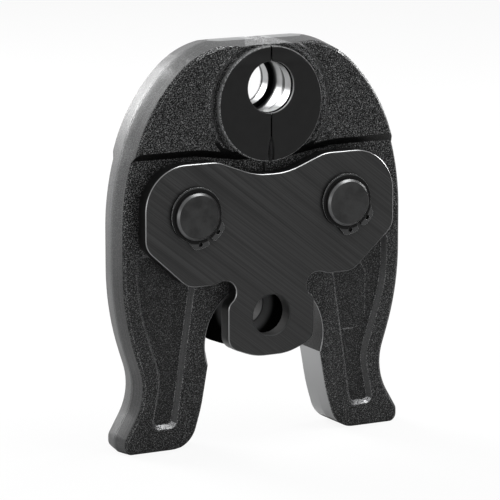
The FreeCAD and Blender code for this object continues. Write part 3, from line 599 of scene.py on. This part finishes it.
fine_lines = ground.streaks((45.0, 45.0, 0.2), LINE_TURN)
broad_lines = ground.streaks((60.0, 60.0, 1.3), LINE_TURN)
flat_on = abs(ground.facing_y) > FLAT_ON
outer_face = flat_on * (ground.depth > plate_outer_y - 0.1)
inner_face = flat_on * (ground.depth < plate_inner_y + 0.1)
chamfer = (ground.depth > plate_outer_y - CHAMFER) * (1 - outer_face)
line_tone = PLATE + fine_lines.fade(0.25, 0.8) * FINE + broad_lines.fade(0.3, 0.7) * BROAD
# Painted shade on the side walls and the inner faces, and painted light round the tool pin's
# hole on the inner faces.
wall_shade = (1 - outer_face) * (1 - inner_face) * WALL_PAINTED_SHADE
from_tool_pin = ground.radius(0.0, 0.0)
inner_shade_and_hole_light = INNER_PAINTED_SHADE + (1 - from_tool_pin.fade(*PAINTED_LIGHT_REACH)) * PAINTED_LIGHT_ROUND_HOLE
in_hole = from_tool_pin < tool_hole_radius + HOLE_CHAMFER
chamfer_tone = chamfer * (0.2 - in_hole * 0.15)
ground.dress(
    outer_face * line_tone + wall_shade + inner_face * inner_shade_and_hole_light + chamfer_tone,
    fine_lines * outer_face, 0.02, 0.3,
    Roughness=0.36 + broad_lines * 0.08 + inner_face * 0.4 + in_hole * 0.4 - chamfer * 0.1,
    Metallic=chamfer | inner_face,
)
print("plates painted with", len(ground.start.tree.nodes), "nodes")

# %% [markdown]
# ## Satin pins
# The pins are turned and blackened. Their ends show faint rings from facing, and the
# chamfer is a little lighter. A Wave texture could draw rings round one centre. The sine
# of the distance from the nearer pin's axis draws them on both pins with one finish.

# %% Paint the pins
satin = Finish("satin_black_pin", 0.2, Specular_IOR_Level=0.3)
PIN_CHAMFER, FACING_RINGS = 0.85, 18.0
PIN, SPECKLED, CLOUDED, RINGED, PIN_CHAMFER_TONE = 0.002, 0.012, 0.016, 0.001, 0.08

from_axis = satin.radius(pivot_x, pivot_z)
pin_face = satin.depth > pin_end_y - 0.05
pin_chamfer = (satin.depth > pin_end_y - PIN_CHAMFER) * (1 - pin_face)
rings = (from_axis * FACING_RINGS).wave() * pin_face
specks = satin.noise(0.3)
clouds = satin.noise(2.5).fade(0.3, 0.7)
pin_tone = PIN + specks * SPECKLED + clouds * CLOUDED + rings * RINGED
satin.dress(pin_tone + pin_chamfer * PIN_CHAMFER_TONE, specks, 0.02, 0.3,
            Roughness=0.4 + specks * 0.1 - pin_chamfer * 0.1, Metallic=pin_chamfer)
print("pins painted with", len(satin.start.tree.nodes), "nodes")

# %% [markdown]
# ## Phosphated rings and the spring
# The retaining rings are stamped spring steel with a dull phosphate coat, nearly black.
# Near the pin a ring is painted darker, as shade beside the pin's end, and the lugs and the
# wide back of a ring, which stand out past the pin, are a little lighter. The edges are
# lighter still, as wear and painted highlight, most on the lugs. The distance from the
# pin's axis marks that part, so that one finish does for the whole ring. The strip spring
# is bare, rolled steel with faint lines along it.

# %% Paint the rings and the spring
phosphate = Finish("phosphated_ring", 0.12, Specular_IOR_Level=0.1)
OUTSTAND, COAT, COAT_SPECKS, OUTSTAND_TONE, EDGE_WEAR_AND_HIGHLIGHT, LUG_EDGE_WEAR_AND_HIGHLIGHT = (
    9.3, 0.003, 0.006, 0.046, 0.25, 0.35)

ring_specks = phosphate.noise(0.25)
ring_edge_wear_and_highlight = phosphate.edges().fade(0.05, 0.3)
past_the_pin = phosphate.radius(pivot_x, pivot_z) > OUTSTAND
outstanding = past_the_pin * (abs(phosphate.facing_y) > SIDE_ON)
# Painted shade near the pin, a lighter tone past it, and edges bright as wear and painted
# highlight.
coat_and_shade = COAT + ring_specks * COAT_SPECKS + outstanding * OUTSTAND_TONE
phosphate.dress(coat_and_shade + ring_edge_wear_and_highlight * (EDGE_WEAR_AND_HIGHLIGHT + outstanding * LUG_EDGE_WEAR_AND_HIGHLIGHT),
                Roughness=0.4 + ring_specks * 0.15, Metallic=ring_edge_wear_and_highlight)

rolled = Finish("rolled_spring_strip", 0.1, Metallic=1.0)
roll_lines = rolled.streaks((0.2, 6.0, 6.0))
rolled.dress(0.1 + roll_lines * 0.1, Roughness=0.3 + roll_lines * 0.15)
print("rings painted with", len(phosphate.start.tree.nodes), "nodes")

# %% [markdown]
# ## Dressing the pieces
# A copied piece keeps the plain material of the model. Each piece is cleared of it and gets
# the finish of its own slot, so pieces of one steel share one material.

# %% Dress each skin
FINISHES = {
    "plate_steel": ground,
    "forged_steel": forging,
    "pin_steel": satin,
    "ring_steel": phosphate,
    "spring_steel": rolled,
}
for name, skin in skins.items():
    skin.data.materials.clear()
    skin.data.materials.append(FINISHES[SLOTS[name]].material)
    print(name, "wears", skin.data.materials[0].name)

# %% [markdown]
# ## White surroundings
# The jaw is lit by a dim, even fill and by soft panels. The camera meets plain white all
# round. Mirror rays meet white overhead and a softer grey towards the horizon, as in a
# studio with a bright ceiling, so that each edge shows which way it faces. A picture of a
# studio could do that too, but a blend by height needs no file. Neither adds light to the
# jaw's matt faces.

# %% Set the surroundings
world = bpy.data.worlds.new("white_surroundings")
bpy.context.scene.world = world
world.use_nodes = True
sky = Field(world.node_tree)


def seen_directly(start):
    """A mask of the camera's rays, and one of the rays of camera, mirrors and glass."""
    rays = [start.node("ShaderNodeLightPath", output=name)
            for name in ("Is Camera Ray", "Is Glossy Ray", "Is Transmission Ray")]
    return rays[0], rays[0] | rays[1] | rays[2]


WHITE = (1.0, 1.0, 1.0, 1.0)
FILL, HORIZON = 0.5, 0.3
direction = sky.node("ShaderNodeTexCoord", output="Generated")
height = sky.node("ShaderNodeSeparateXYZ", None, {"Vector": direction}, "Z")
sky_camera, sky_shown = seen_directly(sky)
mirrored = HORIZON + height.fade(-0.1, 0.7) * (1.0 - HORIZON)
level = FILL + (sky_shown - sky_camera) * (mirrored - FILL) + sky_camera * (1.0 - FILL)
background = world.node_tree.nodes["Background"]
background.inputs["Color"].default_value = WHITE
world.node_tree.links.new(level.socket, background.inputs["Strength"])
print("surroundings: fill", FILL, "and mirrored horizon", HORIZON)

# %% [markdown]
# ## Floor
# The jaw stands on its two feet on a pale floor, which takes light as paper does. The
# camera sees nine tenths plain white there, so that the floor meets the surroundings with
# no edge, and one tenth paper, which keeps a soft trace of the jaw's shadow. In mirrors
# the floor stays paper near the feet and grows lighter further out.

# %% Lay the floor
bpy.ops.object.select_all(action="DESELECT")
bpy.ops.mesh.primitive_plane_add(size=6.0, location=(0.0, 0.0, sole_z * MM))
floor = bpy.context.active_object
floor.name = "floor"
bpy.ops.object.transform_apply(location=True, rotation=True, scale=True)

WHITE_FOR_CAMERA, WHITE_IN_MIRRORS, LIGHTER_FROM = 0.9, 0.4, (150.0, 500.0)
paper = Finish("pale_floor", 0.1, Roughness=0.9, Specular_IOR_Level=0.1)
paper.shader.inputs["Base Color"].default_value = (0.6, 0.6, 0.6, 1.0)
from_middle = (paper.x * paper.x + paper.y * paper.y).root()
floor_camera, floor_shown = seen_directly(paper.start)
far_out = floor_shown * from_middle.fade(*LIGHTER_FROM)
whiteness = floor_camera * WHITE_FOR_CAMERA | far_out * WHITE_IN_MIRRORS
glow = paper.start.node("ShaderNodeEmission", None, {"Color": WHITE, "Strength": 1.0})
matt = Field(paper.start.tree, paper.shader.outputs[0])
whole = paper.start.node("ShaderNodeMixShader", None, {0: whiteness, 1: matt, 2: glow})
output = paper.start.tree.nodes["Material Output"]
paper.start.tree.links.new(whole.socket, output.inputs["Surface"])
floor.data.materials.append(paper.material)
print("floor at", round(floor.data.vertices[0].co.z / MM, 2), "mm")

# %% [markdown]
# ## Light
# A black, satin thing is shaped by what it mirrors. Small lamps would show in it as hot
# dots, so four soft panels hang round it. A large one behind the jaw on the left rolls a
# sheen down the left rim. One above brightens the top flats and draws the upper edges of
# the plates. A small one on the right lights the right arm's inner faces, and a faint one
# at the front left lifts the front.


# %% Hang the soft panels
def soft_panel(name, place, size, watts):
    """An area light of a width and a height at a place, turned to face the jaw."""
    bpy.ops.object.light_add(type="AREA", location=place)
    panel = bpy.context.active_object
    panel.name = name
    panel.data.shape = "RECTANGLE"
    panel.data.size, panel.data.size_y = size
    panel.data.energy = watts
    way = JAW_MIDDLE - Vector(place)
    panel.rotation_euler = way.to_track_quat("-Z", "Y").to_euler()
    print(name, "of", watts, "W")


JAW_MIDDLE = Vector((0.0, 0.0, 0.03))
soft_panel("back_left_panel", (-0.3, 0.95, 0.45), (0.5, 0.5), 17.0)
soft_panel("top_panel", (0.3, -0.2, 0.8), (0.5, 0.3), 5.0)
soft_panel("right_panel", (0.9, 0.25, 0.3), (0.3, 0.3), 6.0)
soft_panel("front_left_panel", (-0.8, -0.45, 0.1), (0.4, 0.4), 1.5)

# %% [markdown]
# ## Camera
# A view could be set by eye. This one is solved from the circles and flat faces of the
# jaw, so that its outline falls in place: from the left, a little above, with a long lens.

# %% Place the camera
AIM = Vector((-1.89, -0.45, 20.42)) * MM
DISTANCE = 1127.6 * MM
TURN, RISE = math.radians(-28.25), math.radians(11.07)
LENS, SENSOR = 239.8, 36.0
toward = Vector((math.sin(TURN) * math.cos(RISE), -math.cos(TURN) * math.cos(RISE),
                 math.sin(RISE)))
bpy.ops.object.camera_add(location=AIM + toward * DISTANCE)
camera = bpy.context.active_object
camera.name = "camera"
camera.rotation_euler = (-toward).to_track_quat("-Z", "Y").to_euler()
camera.data.lens = LENS
camera.data.sensor_width = SENSOR
camera.data.sensor_fit = "HORIZONTAL"
bpy.context.scene.camera = camera
print("camera", round(DISTANCE, 3), "m away with a lens of", LENS, "mm")

# %% [markdown]
# ## The view transform
# The Standard view keeps white paper white and blacks deep.

# %% Keep white paper white
bpy.context.scene.view_settings.view_transform = "Standard"
